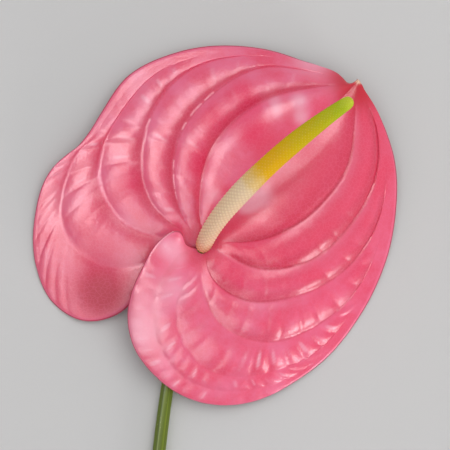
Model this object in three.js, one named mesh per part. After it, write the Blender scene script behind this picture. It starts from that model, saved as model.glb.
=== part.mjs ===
// A cut anthurium flower lying on a table, face up: a heart-shaped spathe, the spadix that
// rises out of its pit, and the stem that carries both and lies along the table behind them.
// Millimetres, +Z up, the stem running towards -Y and the spathe's face looking up.
import * as THREE from "three";

// Spathe: the blade is drawn about the collar, the ring where it wraps the stem.
const MIDRIB_LENGTH = 92.3; // collar centre to the point of the blade
const MIDRIB_AZIMUTH = 46; // degrees from +X to the midrib, seen from above
const BLADE_THICKNESS = 1.1;
const PIT_HEIGHT = 10.5; // the collar's height above the table
const BLADE_CROWN = 3.2; // how far each half arches up between the midrib and its margin
const MIDRIB_CHANNEL = 1.3; // depth of the channel along the midrib
const COLLAR_GAP = 1.5; // free ring between the stem's neck and the collar

// Spadix: a tapered, round-ended rod.
const SPADIX_LENGTH = 91;
const SPADIX_DIAMETER = 8.2; // at its widest, a third of the way up
const SPADIX_TIP_DIAMETER = 5.2; // where its round end begins
const SPADIX_FOOT_DIAMETER = 4.8;
const SPADIX_RISE = [54, 15]; // degrees above the table, at the foot and at the tip
// Its heading, degrees from +X: share of its length, and heading.
const SPADIX_HEADINGS = [
  [0, 66],
  [0.1, 58],
  [0.25, 49.3],
  [0.6, 41.3],
  [1, 33.2],
];

const NECK_AZIMUTH = SPADIX_HEADINGS[0][1]; // the stem's end and the spadix's foot share it

// Stem: round, thicker towards its cut end, bent up at the neck.
const STEM_LENGTH = 305;
const STEM_CUT_DIAMETER = 6.2;
const STEM_NECK_DIAMETER = 4.4;
const STEM_STUB = 3.4; // how far the stem reaches through the collar
const NECK_RUN = 13.5; // ground length over which the neck comes up off the table
const JOINT_GAP = 0.3; // free gap between the stem's end and the spadix's foot

// Mesh fineness.
const BLADE_COLUMNS = 32;
const BLADE_ROWS = 58;
const STEM_SIDES = 12;
const STEM_STEPS = 56;
const SPADIX_SIDES = 16;
const SPADIX_STEPS = 22;

// Each half's margin, from the collar to the blade's point: degrees round the collar from the
// midrib, distance from the collar, and height above the table. The distances are drawn on a
// blade whose midrib is DRAWN_MIDRIB long. The left lobe passes under the right one.
const DRAWN_MIDRIB = 92.3;
const LEFT_MARGIN = [
  [150, 9.0, 10.2],
  [161, 17.1, 9.6],
  [168, 26.6, 8.6],
  [173, 39.1, 6.2],
  [172, 46.7, 4.6],
  [166, 57.0, 2.8],
  [154, 65.3, 0.9],
  [140, 68.1, 0.8],
  [124, 68.9, 2.6],
  [108, 68.4, 5.6],
  [95, 64.1, 8.6],
  [82, 67.2, 8.0],
  [67, 75.1, 5.6],
  [51, 78.9, 4.2],
  [34, 82.0, 3.8],
  [18, 84.7, 4.6],
  [7, 87.1, 6.6],
  [3.4, 87.7, 7.4],
  [2, 88.2, 8.2],
  [1.3, 89.9, 8.8],
];
const RIGHT_MARGIN = [
  [-232, 6.2, 14.6],
  [-255, 8.8, 18.4],
  [-256, 11.8, 20.4],
  [-233, 17.4, 20.8],
  [-209, 24.5, 19.4],
  [-194, 33.4, 17.4],
  [-183, 41.3, 15.0],
  [-170, 49.3, 12.4],
  [-156, 55.9, 9.8],
  [-140, 62.2, 7.0],
  [-122, 65.8, 4.4],
  [-103, 66.2, 2.4],
  [-86, 67.6, 0.8],
  [-69, 69.6, 0.7],
  [-52, 73.8, 1.4],
  [-35, 79.4, 3.2],
  [-19, 85.4, 5.2],
  [-7, 88.7, 7.0],
  [-2.2, 90.1, 8.4],
];
// Where the margins start at the collar: degrees from the midrib.
const LEFT_SINUS = 139;
const RIGHT_SINUS = -184;
const POINT_ANGLE = 0.9; // half the width of the blunt point, as degrees round the collar
const POINT_DISTANCE = 90.8; // from the collar, on the drawn blade
const POINT_HEIGHT = 9.2;
// Heights along the midrib: distance from the collar on the drawn blade, and height.
const MIDRIB_HEIGHTS = [
  [10, 12.2],
  [24, 15.4],
  [45, 16.6],
  [66, 14.6],
  [80, 11.8],
];
const MARGIN_DROP_POWER = 2.3; // how late a half falls away to its margin
const CHANNEL_SHARE = 0.16; // half-width of the midrib channel, as a share of a half

const bladeScale = MIDRIB_LENGTH / DRAWN_MIDRIB;
const collarRadius = STEM_NECK_DIAMETER / 2 + COLLAR_GAP;

// Cubic interpolation through unevenly spaced points, sorted by x.
function smoothCurve(points) {
  const count = points.length;
  const slope = points.map((point, i) => {
    const before = points[Math.max(i - 1, 0)];
    const after = points[Math.min(i + 1, count - 1)];
    return (after[1] - before[1]) / (after[0] - before[0]);
  });
  return (x) => {
    let i = 0;
    while (i < count - 2 && x > points[i + 1][0]) i += 1;
    const [x0, y0] = points[i];
    const [x1, y1] = points[i + 1];
    const span = x1 - x0;
    const t = Math.min(Math.max((x - x0) / span, 0), 1);
    const rise = y1 - y0;
    const lead = slope[i] * span;
    const tail = slope[i + 1] * span;
    return y0 + t * (lead + t * (3 * rise - 2 * lead - tail + t * (lead + tail - 2 * rise)));
  };
}

// The blade's two coordinates are those of two poles, the collar and the point: "reach" grows
// from one pole to the other, and "turn" is how far round a place lies from the midrib, so that
// lines of one turn leave the collar, swing out and meet again at the point, as the veins do.
function poleCoordinates(degrees, distance) {
  const angle = THREE.MathUtils.degToRad(degrees);
  const along = (distance * Math.cos(angle)) / MIDRIB_LENGTH;
  const across = (distance * Math.sin(angle)) / MIDRIB_LENGTH;
  const reach = Math.log(Math.hypot(along, across) / Math.hypot(1 - along, across));
  const turn = angle + Math.atan2(across, 1 - along);
  return { reach, turn };
}

function planPoint(reach, turn) {
  const real = Math.exp(reach) * Math.cos(turn);
  const imaginary = Math.exp(reach) * Math.sin(turn);
  const size = (1 + real) ** 2 + imaginary ** 2;
  const along = (MIDRIB_LENGTH * (real * (1 + real) + imaginary ** 2)) / size;
  const across = (MIDRIB_LENGTH * imaginary) / size;
  return new THREE.Vector2(along, across).rotateAround(
    new THREE.Vector2(),
    THREE.MathUtils.degToRad(MIDRIB_AZIMUTH),
  );
}

// How far along the midrib a reach gets, from 0 at the collar's centre to 1 at the point.
function progressAt(reach) {
  return 1 / (1 + Math.exp(-reach));
}

function marginCurves(sinus, rows, side) {
  const full = [
    [sinus, collarRadius, PIT_HEIGHT],
    ...rows.map(([degrees, distance, height]) => [degrees, distance * bladeScale, height]),
    [side * POINT_ANGLE, POINT_DISTANCE * bladeScale, POINT_HEIGHT],
  ].map(([degrees, distance, height]) => ({ ...poleCoordinates(degrees, distance), height }));
  return {
    turn: smoothCurve(full.map((place) => [place.reach, place.turn])),
    height: smoothCurve(full.map((place) => [progressAt(place.reach), place.height])),
  };
}

const leftMargin = marginCurves(LEFT_SINUS, LEFT_MARGIN, 1);
const rightMargin = marginCurves(RIGHT_SINUS, RIGHT_MARGIN, -1);
const firstReach = poleCoordinates(0, collarRadius).reach;
const lastReach = poleCoordinates(POINT_ANGLE, POINT_DISTANCE * bladeScale).reach;
const midribHeight = smoothCurve([
  [progressAt(firstReach), PIT_HEIGHT],
  ...MIDRIB_HEIGHTS.map(([distance, height]) => [distance / DRAWN_MIDRIB, height]),
  [progressAt(lastReach), POINT_HEIGHT],
]);

// Rows of the blade's mesh, evenly spaced along whichever margin runs faster.
function evenReaches(rows) {
  const samples = 600;
  const reachAt = (i) => firstReach + ((lastReach - firstReach) * i) / samples;
  const place = (margin, reach) => planPoint(reach, margin.turn(reach));
  const travelled = [0];
  for (let i = 1; i <= samples; i += 1) {
    const steps = [leftMargin, rightMargin].map((margin) =>
      place(margin, reachAt(i)).distanceTo(place(margin, reachAt(i - 1))),
    );
    travelled.push(travelled[i - 1] + Math.max(...steps));
  }
  const total = travelled[samples];
  return Array.from({ length: rows + 1 }, (_, row) => {
    const wanted = (total * row) / rows;
    let i = 1;
    while (i < samples && travelled[i] < wanted) i += 1;
    const part = (wanted - travelled[i - 1]) / (travelled[i] - travelled[i - 1]);
    return reachAt(i - 1 + Math.min(Math.max(part, 0), 1));
  });
}

// A place on the blade's middle surface. side runs from -1 at the left margin, over 0 at the
// midrib, to 1 at the right margin.
function bladePoint(side, reach) {
  const margin = side < 0 ? leftMargin : rightMargin;
  const share = Math.min(Math.abs(side), 1);
  const plan = planPoint(reach, share * margin.turn(reach));
  const progress = progressAt(reach);
  const middle = midribHeight(progress);
  const drop = (margin.height(progress) - middle) * share ** MARGIN_DROP_POWER;
  const fade = 4 * progress * (1 - progress);
  const arch = BLADE_CROWN * Math.sin(Math.PI * share) * fade;
  const channel = MIDRIB_CHANNEL * Math.exp(-((share / CHANNEL_SHARE) ** 2)) * fade;
  return new THREE.Vector3(plan.x, plan.y, middle + drop + arch - channel);
}

function bladeNormal(side, reach) {
  const step = 1e-3;
  const low = Math.max(side - step, -1);
  const high = Math.min(side + step, 1);
  const across = bladePoint(high, reach).sub(bladePoint(low, reach));
  const along = bladePoint(side, reach + step).sub(bladePoint(side, reach - step));
  return across.cross(along).normalize();
}

function spatheGeometry() {
  const reaches = evenReaches(BLADE_ROWS);
  const geometry = new THREE.BoxGeometry(1, 1, 1, BLADE_COLUMNS, BLADE_ROWS, 1);
  const place = geometry.attributes.position;
  for (let i = 0; i < place.count; i += 1) {
    const side = 2 * place.getX(i);
    const reach = reaches[Math.round((place.getY(i) + 0.5) * BLADE_ROWS)];
    const point = bladePoint(side, reach);
    point.addScaledVector(bladeNormal(side, reach), place.getZ(i) * BLADE_THICKNESS);
    place.setXYZ(i, point.x, point.y, point.z);
  }
  return geometry;
}

// The stem's centreline, from the cut end to just above the collar.
function stemRadius(behind) {
  const share = Math.min(Math.max(behind / STEM_LENGTH, 0), 1);
  return THREE.MathUtils.lerp(STEM_NECK_DIAMETER, STEM_CUT_DIAMETER, share) / 2;
}

function stemCurve() {
  const stepLength = STEM_LENGTH / 80;
  const azimuth = smoothCurve([
    [0, NECK_AZIMUTH],
    [12, 71],
    [30, 76],
    [58, 80.3],
    [90, 83.5],
    [0.6 * STEM_LENGTH, 87.5],
    [STEM_LENGTH, 91.5],
  ]);
  const plan = new THREE.Vector2();
  const points = [];
  for (let behind = 0; behind <= STEM_LENGTH + 1e-6; behind += stepLength) {
    const lift = (PIT_HEIGHT - stemRadius(0)) * Math.max(1 - behind / NECK_RUN, 0) ** 2;
    points.push(new THREE.Vector3(plan.x, plan.y, stemRadius(behind) + lift));
    const heading = THREE.MathUtils.degToRad(azimuth(behind + stepLength / 2));
    plan.x -= stepLength * Math.cos(heading);
    plan.y -= stepLength * Math.sin(heading);
  }
  const upward = directionOf(NECK_AZIMUTH, SPADIX_RISE[0]);
  points.unshift(points[0].clone().addScaledVector(upward, STEM_STUB));
  return new THREE.CatmullRomCurve3(points.reverse(), false, "centripetal");
}

function directionOf(azimuth, rise) {
  const turn = THREE.MathUtils.degToRad(azimuth);
  const lift = THREE.MathUtils.degToRad(rise);
  return new THREE.Vector3(
    Math.cos(lift) * Math.cos(turn),
    Math.cos(lift) * Math.sin(turn),
    Math.sin(lift),
  );
}

// The spadix's centreline: it starts just past the stem's end and levels out as it goes.
function spadixCurve(start) {
  const steps = 24;
  const headingAt = smoothCurve(SPADIX_HEADINGS);
  const point = start.clone();
  const points = [point.clone()];
  for (let i = 0; i < steps; i += 1) {
    const share = (i + 0.5) / steps;
    const azimuth = headingAt(share);
    const rise = SPADIX_RISE[1] + (SPADIX_RISE[0] - SPADIX_RISE[1]) * (1 - share) ** 2.4;
    point.addScaledVector(directionOf(azimuth, rise), SPADIX_LENGTH / steps);
    points.push(point.clone());
  }
  return new THREE.CatmullRomCurve3(points, false, "centripetal");
}

// Bends a solid that was turned about +Y between 0 and 1 along a curve.
function bendAlong(geometry, curve) {
  const place = geometry.attributes.position;
  for (let i = 0; i < place.count; i += 1) {
    const share = Math.min(Math.max(place.getY(i), 0), 1);
    const tangent = curve.getTangentAt(share);
    const sideways = new THREE.Vector3(0, 0, 1).cross(tangent).normalize();
    const upwards = tangent.clone().cross(sideways);
    const point = curve
      .getPointAt(share)
      .addScaledVector(sideways, place.getX(i))
      .addScaledVector(upwards, -place.getZ(i));
    place.setXYZ(i, point.x, point.y, point.z);
  }
  return geometry;
}

function stemGeometry(curve) {
  const rod = new THREE.CylinderGeometry(
    STEM_NECK_DIAMETER / 2,
    STEM_CUT_DIAMETER / 2,
    1,
    STEM_SIDES,
    STEM_STEPS,
  );
  rod.translate(0, 0.5, 0);
  return bendAlong(rod, curve);
}

function spadixGeometry(curve) {
  const body = smoothCurve([
    [0, SPADIX_FOOT_DIAMETER / 2],
    [0.06, 0.84 * (SPADIX_DIAMETER / 2)],
    [0.3, SPADIX_DIAMETER / 2],
    [0.65, 0.9 * (SPADIX_DIAMETER / 2)],
    [1, SPADIX_TIP_DIAMETER / 2],
  ]);
  const endShare = SPADIX_TIP_DIAMETER / 2 / SPADIX_LENGTH;
  const profile = [new THREE.Vector2(0, 0)];
  for (let i = 0; i <= SPADIX_STEPS; i += 1) {
    const share = (i / SPADIX_STEPS) * (1 - endShare);
    profile.push(new THREE.Vector2(body(share), share));
  }
  for (const degrees of [30, 60]) {
    const angle = THREE.MathUtils.degToRad(degrees);
    const radius = body(1 - endShare) * Math.cos(angle);
    profile.push(new THREE.Vector2(radius, 1 - endShare + endShare * Math.sin(angle)));
  }
  profile.push(new THREE.Vector2(0, 1));
  return bendAlong(new THREE.LatheGeometry(profile, SPADIX_SIDES), curve);
}

function material(color, roughness) {
  return new THREE.MeshStandardMaterial({ color, roughness, metalness: 0 });
}

function piece(name, geometry, look) {
  const mesh = new THREE.Mesh(geometry, look);
  mesh.name = name;
  return mesh;
}

function anthurium() {
  const stemLine = stemCurve();
  const stemEnd = stemLine.getPointAt(1);
  const ahead = directionOf(NECK_AZIMUTH, SPADIX_RISE[0]);
  const spadixLine = spadixCurve(stemEnd.clone().addScaledVector(ahead, JOINT_GAP));
  const flower = new THREE.Group();
  flower.add(
    piece("spathe", spatheGeometry(), material(0xe8607f, 0.3)),
    piece("spadix", spadixGeometry(spadixLine), material(0xd8c060, 0.6)),
    piece("stem", stemGeometry(stemLine), material(0x6f8a3c, 0.5)),
  );
  // The origin is the middle of the flower's footprint, on the table.
  const box = new THREE.Box3().setFromObject(flower, true);
  const middle = box.getCenter(new THREE.Vector3());
  flower.position.set(-middle.x, -middle.y, -box.min.z);
  return flower;
}

export default anthurium();
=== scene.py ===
"""Cut anthurium lying face up on a pale table: spathe, spadix and stem, dressed and lit.

Lengths are written in millimetres and turned into metres by MM. The spathe is laid out about its
collar, the ring where the blade wraps the stem, in two coordinates: "reach", which grows from the
collar to the point of the heart, and "turn", which says how far round a place lies from the midrib.
"""

import logging
import math
import random
from dataclasses import dataclass, field
from enum import Enum
from typing import Callable, Sequence

import bmesh
import bpy
import numpy as np
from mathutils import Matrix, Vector, noise


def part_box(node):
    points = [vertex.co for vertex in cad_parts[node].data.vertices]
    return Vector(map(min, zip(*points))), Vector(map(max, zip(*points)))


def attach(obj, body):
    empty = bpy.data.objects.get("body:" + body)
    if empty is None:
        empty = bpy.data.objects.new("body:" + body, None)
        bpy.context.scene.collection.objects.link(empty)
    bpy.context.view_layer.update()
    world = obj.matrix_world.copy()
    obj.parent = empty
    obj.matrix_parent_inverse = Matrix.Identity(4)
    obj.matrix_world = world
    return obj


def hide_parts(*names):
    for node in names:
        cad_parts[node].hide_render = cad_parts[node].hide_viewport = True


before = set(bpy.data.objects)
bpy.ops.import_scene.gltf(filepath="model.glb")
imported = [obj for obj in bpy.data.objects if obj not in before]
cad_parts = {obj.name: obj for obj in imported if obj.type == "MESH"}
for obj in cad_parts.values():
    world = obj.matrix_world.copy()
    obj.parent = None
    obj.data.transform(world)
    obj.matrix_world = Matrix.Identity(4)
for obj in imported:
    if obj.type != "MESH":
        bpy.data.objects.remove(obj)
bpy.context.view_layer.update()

MM = 0.001
EDGE_ANGLE = math.radians(60)  # sharper corners than this are rounded off
COLLAR_OFFSET = (1.28, -0.06)  # mm, from the low corner of the CAD spadix's box to the collar
NECK_HEIGHT = 10.5  # mm, where the spadix meets the stem
NECK_AZIMUTH = 66.0  # degrees from +X, the way both run there
NECK_RISE = 54.0  # degrees above the table
LOG = logging.getLogger("anthurium")

Array = np.ndarray
Stops = Sequence[tuple[float, float]]
Colour = tuple[float, float, float]
Row = tuple[float, ...]


class Half(Enum):
    """The two halves of the spathe, on either side of its midrib."""

    LEFT = -1
    RIGHT = 1


class Slot(Enum):
    """The record's material slots."""

    SPATHE = "spathe"
    SPADIX = "spadix"
    STEM = "stem"


# ---------------------------------------------------------------- curves and small helpers


def smooth_curve(stops: Stops) -> Callable[[Array], Array]:
    """Cubic interpolation through unevenly spaced stops, held flat past both ends.

    Args:
        stops: (x, y) pairs with x rising.

    Returns:
        A function of an array of x that gives an array of y.
    """
    x, y = (np.array(column, float) for column in zip(*stops))
    before = np.maximum(np.arange(len(x)) - 1, 0)
    after = np.minimum(np.arange(len(x)) + 1, len(x) - 1)
    slope = (y[after] - y[before]) / (x[after] - x[before])

    def curve(q: Array) -> Array:
        """The curve's y at each x of an array."""
        q = np.asarray(q, float)
        i = np.clip(np.searchsorted(x, q) - 1, 0, len(x) - 2)
        span = x[i + 1] - x[i]
        t = np.clip((q - x[i]) / span, 0, 1)
        rise, lead, tail = y[i + 1] - y[i], slope[i] * span, slope[i + 1] * span
        return y[i] + t * (lead + t * (3 * rise - 2 * lead - tail + t * (lead + tail - 2 * rise)))

    return curve


def soft_min(a: Array, b: Array, blend: float) -> Array:
    """The lesser of two arrays, with the corner between them rounded over blend."""
    return 0.5 * (a + b - np.sqrt((a - b) ** 2 + blend**2))


def blurred(values: Array, reach: float) -> Array:
    """An array smoothed down its columns by a bell curve of that many rows, ends held."""
    span = int(3 * reach)
    weights = np.exp(-0.5 * (np.arange(-span, span + 1) / reach) ** 2)
    weights /= weights.sum()
    padded = np.pad(values, ((span, span), (0, 0)), mode="edge")
    return np.stack([np.convolve(column, weights, "valid") for column in padded.T], axis=1)


def smooth_step(low: float, high: float, x: Array) -> Array:
    """Rises smoothly from 0 at low to 1 at high."""
    t = np.clip((x - low) / (high - low), 0, 1)
    return t * t * (3 - 2 * t)


def direction(azimuth: Array | float, rise: Array | float) -> Array:
    """Unit vectors at an azimuth from +X and a rise above the table, both in degrees."""
    turn, lift = np.radians(azimuth), np.radians(rise)
    return np.stack(
        [np.cos(lift) * np.cos(turn), np.cos(lift) * np.sin(turn), np.sin(lift)], axis=-1
    )


def collar_place() -> tuple[float, float]:
    """The collar's centre on the table plan, in millimetres, from the box of the CAD spadix."""
    low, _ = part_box("spadix")
    return low.x / MM + COLLAR_OFFSET[0], low.y / MM + COLLAR_OFFSET[1]


def run_along(points: Array) -> Array:
    """Distance run at each point of a line, 0 at its first."""
    steps = np.linalg.norm(np.diff(points, axis=0), axis=1)
    return np.concatenate([[0], np.cumsum(steps)])


def resampled(line: Array, run: Array, wanted: Array) -> Array:
    """The places at wanted distances along a line."""
    return np.stack([np.interp(wanted, run, line[:, axis]) for axis in range(3)], axis=1)


def bell(place: Array, x: float, y: float, radius: float) -> Array:
    """A soft round patch on the plan: 1 at its middle, falling off over its radius."""
    away = np.hypot(place[..., 0] - x, place[..., 1] - y) / radius
    return np.exp(-0.5 * away**2)


def linear(red: int, green: int, blue: int) -> tuple[float, float, float, float]:
    """A linear colour from the 0 to 255 values that a screen shows."""

    def one(value: int) -> float:
        """One channel, without the screen's curve."""
        v = value / 255
        return v / 12.92 if v <= 0.04045 else ((v + 0.055) / 1.055) ** 2.4

    return (one(red), one(green), one(blue), 1.0)


def per_half(left: object, right: object) -> dict[Half, object]:
    """A dataclass field that keeps one thing for each half of the blade."""
    return field(default_factory=lambda: {Half.LEFT: left, Half.RIGHT: right})


def link(name: str, shape: bpy.types.ID | None) -> bpy.types.Object:
    """Adds an object that carries a mesh, a light or a lens to the scene."""
    thing = bpy.data.objects.new(name, shape)
    bpy.context.scene.collection.objects.link(thing)
    return thing


def round_edges(piece: bpy.types.Object, name: str, width: float) -> None:
    """Rounds a piece's sharp edges over a width in millimetres."""
    bevel = piece.modifiers.new(name, "BEVEL")
    bevel.width = width * MM
    bevel.segments = 2
    bevel.limit_method = "ANGLE"
    bevel.angle_limit = EDGE_ANGLE


def woven(place: Array, stored: dict[str, Array]) -> bmesh.types.BMesh:
    """A smooth open grid of vertices, with numbers kept on them for the materials.

    Args:
        place: rows by columns of vertex places, in millimetres.
        stored: arrays of the same rows and columns, of one number or three, by name.

    Returns:
        The grid, to be turned into a mesh.
    """
    rows, columns = place.shape[0] - 1, place.shape[1] - 1
    grid = bmesh.new()
    bmesh.ops.create_grid(grid, x_segments=columns, y_segments=rows, size=1.0)
    corner = np.array([vertex.co[:2] for vertex in grid.verts])
    column = np.rint((corner[:, 0] + 1) / 2 * columns).astype(int)
    row = np.rint((corner[:, 1] + 1) / 2 * rows).astype(int)
    kinds = grid.verts.layers
    layers = {
        name: (kinds.float_vector if values.ndim == 3 else kinds.float).new(name)
        for name, values in stored.items()
    }
    for vertex, c, r in zip(grid.verts, column, row):
        vertex.co = place[r, c] * MM
        for name, layer in layers.items():
            vertex[layer] = stored[name][r, c]
    for face in grid.faces:
        face.smooth = True
    return grid


def settled(shape: bmesh.types.BMesh, name: str, *finishes: bpy.types.Material) -> bpy.types.Mesh:
    """Turns an edited shape into a named mesh with its finishes."""
    mesh = bpy.data.meshes.new(name)
    shape.to_mesh(mesh)
    shape.free()
    for finish in finishes:
        mesh.materials.append(finish)
    return mesh


# ---------------------------------------------------------------- materials


class Shader:
    """Node paper for one material: adds nodes and wires them with few words."""

    def __init__(self, name: str) -> None:
        """Starts a material of that name that holds one Principled shader."""
        self.material = bpy.data.materials.new(name)
        self.material.use_nodes = True
        self.tree = self.material.node_tree
        self.tree.nodes.clear()
        self.output = self.add("ShaderNodeOutputMaterial")
        self.skin = self.add("ShaderNodeBsdfPrincipled")
        self.wire(self.skin.outputs["BSDF"], self.output.inputs["Surface"])

    def wire(self, source: object, target: object) -> None:
        """Joins an output socket to an input socket."""
        self.tree.links.new(source, target)

    def feed(self, value: object, socket: object) -> None:
        """Gives an input socket a plain value, or the output of another socket."""
        if isinstance(value, (int, float, tuple)):
            socket.default_value = value
        else:
            self.wire(value, socket)

    def add(self, kind: str, feeds: dict | None = None, **settings: object) -> bpy.types.Node:
        """Adds a node of a kind, sets its properties and feeds its inputs.

        Args:
            kind: Blender's name of the node's type.
            feeds: a value or a socket for each named or numbered input.
            settings: the node's properties.

        Returns:
            The node.
        """
        node = self.tree.nodes.new(kind)
        for key, value in settings.items():
            setattr(node, key, value)
        for key, value in (feeds or {}).items():
            self.feed(value, node.inputs[key])
        return node

    def number(self, name: str) -> object:
        """The number that a piece stores for each vertex under that name."""
        return self.add("ShaderNodeAttribute", attribute_name=name).outputs["Fac"]

    def vector(self, name: str) -> object:
        """The vector that a piece stores for each vertex under that name."""
        return self.add("ShaderNodeAttribute", attribute_name=name).outputs["Vector"]

    def place(self) -> object:
        """The place on the piece, in metres."""
        return self.add("ShaderNodeTexCoord").outputs["Object"]

    def stretched(self, source: object, scale: Sequence[float]) -> object:
        """A place stretched by a scale along each axis."""
        feeds = {"Scale": scale, "Vector": source}
        return self.add("ShaderNodeMapping", feeds).outputs["Vector"]

    def noise(self, source: object, scale: float, detail: float = 3, rough: float = 0.5) -> object:
        """Soft noise at a scale, between 0 and 1."""
        feeds = {"Scale": scale, "Detail": detail, "Roughness": rough, "Vector": source}
        return self.add("ShaderNodeTexNoise", feeds).outputs["Fac"]

    def cells(self, source: object, scale: float, feature: str = "F1") -> object:
        """Distance to the middle or the edge of irregular cells."""
        feeds = {"Scale": scale, "Vector": source}
        return self.add("ShaderNodeTexVoronoi", feeds, feature=feature).outputs["Distance"]

    def ramp(self, source: object, stops: Sequence[tuple[float, Colour]]) -> object:
        """A colour ramp through (place, colour) stops."""
        node = self.add("ShaderNodeValToRGB", {"Fac": source})
        elements = node.color_ramp.elements
        while len(elements) < len(stops):
            elements.new(0.5)
        for element, (place, _) in zip(elements, stops):
            element.position = place
        for element, (_, colour) in zip(elements, stops):
            element.color = linear(*colour)
        return node.outputs["Color"]

    def spread(self, source: object, low: float, high: float, to: tuple[float, float]) -> object:
        """Maps low..high of a number smoothly onto another range."""
        feeds = {"From Min": low, "From Max": high, "To Min": to[0], "To Max": to[1]}
        feeds["Value"] = source
        node = self.add("ShaderNodeMapRange", feeds, interpolation_type="SMOOTHSTEP")
        return node.outputs["Result"]

    def maths(self, operation: str, a: object, b: object) -> object:
        """One sum on two numbers."""
        return self.add("ShaderNodeMath", {0: a, 1: b}, operation=operation).outputs["Value"]

    def mix(self, share: object, a: object, b: object) -> object:
        """Mixes two colours; a share, and either colour, may be a socket or a value."""
        return self.add("ShaderNodeMix", {0: share, 6: a, 7: b}, data_type="RGBA").outputs[2]

    def layered(self, base: object, *layers: tuple) -> object:
        """Lays colours over a first one, each as thick as some number makes it.

        Args:
            base: the first colour.
            layers: rows of a number, the low and high ends of its range, the layer's share at
                both ends, and its colour; the number is a socket or the name of a stored one.

        Returns:
            The last colour's socket.
        """
        for source, low, high, shares, colour in layers:
            number = self.number(source) if isinstance(source, str) else source
            base = self.mix(self.spread(number, low, high, shares), base, linear(*colour))
        return base

    def bump(
        self, height: object, strength: float, distance: float, under: object = None
    ) -> object:
        """A normal bent by a height, in metres, over another normal if one is given."""
        feeds = {"Strength": strength, "Distance": distance, "Height": height}
        if under is not None:
            feeds["Normal"] = under
        return self.add("ShaderNodeBump", feeds).outputs["Normal"]

    def set(self, **values: object) -> None:
        """Sets the shader's own sockets; underscores stand for spaces in their names."""
        for key, value in values.items():
            self.feed(value, self.skin.inputs[key.replace("_", " ")])


@dataclass(frozen=True)
class SpatheFace:
    """The waxy upper skin of the blade: pink with a redder point, redder painted shade in its folds
    and painted highlights.
    """

    flesh: Colour = (237, 76, 111)
    pale: Colour = (245, 124, 160)
    # painted highlight colour: the pale of the light patches and of the glints beside the cross
    # creases
    light: Colour = (255, 184, 204)
    # deeper pink patches: partly the blade's own tone, partly painted shade
    deep_tone_and_shade: Colour = (240, 62, 100)
    # painted shadow: where the lower lobe overlaps the left lobe
    painted_lobe_shadow: Colour = (196, 72, 86)
    # painted shade: deeper pink over the blade's right side and its left lobe, which get less light
    painted_side_shade: Colour = (233, 66, 97)
    # painted shade: the redder colour laid where shade falls, in the creases, the collar pit and
    # the pillow flanks turned from the light
    painted_shade_red: Colour = (202, 40, 72)
    point: Colour = (204, 16, 42)
    dried: Colour = (238, 200, 168)
    rim: Colour = (176, 40, 70)
    roughness: tuple[float, float] = (0.28, 0.36)

    def material(self) -> bpy.types.Material:
        """Builds the finish."""
        sheet = Shader("spathe_face")
        place = sheet.place()
        mottle = sheet.noise(place, 90, 4)
        veinlets = sheet.cells(place, 620, "DISTANCE_TO_EDGE")
        base = sheet.layered(
            linear(*self.flesh),
            (mottle, 0.35, 0.7, (0, 0.55), self.pale),
            # painted shade over the right side and the left lobe
            ("painted_side_shade", 0, 1, (0, 0.8), self.painted_side_shade),
            # paler patches: partly the blade's own tone, partly painted highlight
            ("light", 0, 1, (0, 0.7), self.light),
            # painted highlight: a pale glint beside each cross crease
            ("painted_glint", 0.1, 0.9, (0, 0.5), self.light),
            # deeper patches: partly the blade's own tone, partly painted shade
            ("deep_tone_and_shade", 0, 1, (0, 0.8), self.deep_tone_and_shade),
            # painted shadow of the lower lobe on the left lobe
            ("painted_lobe_shadow", 0, 1, (0, 0.85), self.painted_lobe_shadow),
            # painted highlight: paler on each pillow's flank turned to the light
            ("painted_flank_highlight", 0, 1, (0, 0.3), self.pale),
            # painted shade: redder on each pillow's flank turned from the light
            ("shade", 0, 1, (0, 0.6), self.painted_shade_red),
            # painted shade: redder down in the creases between the pillows
            ("crown", 0.0, 0.35, (0.5, 0.0), self.painted_shade_red),
            # painted shade: redder in the pit round the collar
            ("pit", 0.2, 1, (0, 0.3), self.painted_shade_red),
            (veinlets, 0.0, 0.12, (0.16, 0), self.pale),
            ("point", 0, 1, (0, 0.95), self.point),
            ("dry", 0, 1, (0, 0.8), self.dried),
            # painted sheen: a paler band just inside the margin
            ("rim", 0.05, 0.5, (0, 0.35), self.pale),
            ("rim", 0.68, 0.85, (0, 0.85), self.rim),
        )
        matt = sheet.maths("ADD", sheet.number("deep_tone_and_shade"), sheet.number("painted_lobe_shadow"))
        grain = sheet.noise(place, 2600, 2)
        quilt = sheet.bump(sheet.noise(place, 330, 4, 0.6), 0.24, 0.0008)
        dimple = sheet.bump(sheet.cells(place, 1500), 0.12, 0.0002, quilt)
        sheet.set(
            Base_Color=base,
            Roughness=sheet.spread(grain, 0.3, 0.7, self.roughness),
            Normal=dimple,
            Subsurface_Weight=0.12,
            Subsurface_Radius=(1.0, 0.28, 0.3),
            Subsurface_Scale=0.0016,
            Specular_IOR_Level=sheet.spread(matt, 0, 1, (0.5, 0.1)),
            Coat_Weight=sheet.spread(matt, 0, 1, (0.25, 0.0)),
            Coat_Roughness=0.2,
        )
        return sheet.material


@dataclass(frozen=True)
class SpatheBack:
    """The blade's duller underside, paler and a little green along the veins."""

    flesh: Colour = (214, 98, 122)
    pale: Colour = (226, 140, 150)
    vein: Colour = (214, 150, 128)

    def material(self) -> bpy.types.Material:
        """Builds the finish."""
        sheet = Shader("spathe_back")
        place = sheet.place()
        base = sheet.layered(
            linear(*self.flesh),
            (sheet.noise(place, 120, 4), 0.35, 0.7, (0, 0.7), self.pale),
            ("crown", 0.1, 0.56, (0.85, 0.0), self.vein),
        )
        sheet.set(
            Base_Color=base,
            Roughness=0.5,
            Normal=sheet.bump(sheet.cells(place, 900), 0.15, 0.0002),
            Subsurface_Weight=0.15,
            Subsurface_Radius=(1.0, 0.3, 0.3),
            Subsurface_Scale=0.0016,
        )
        return sheet.material


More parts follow.
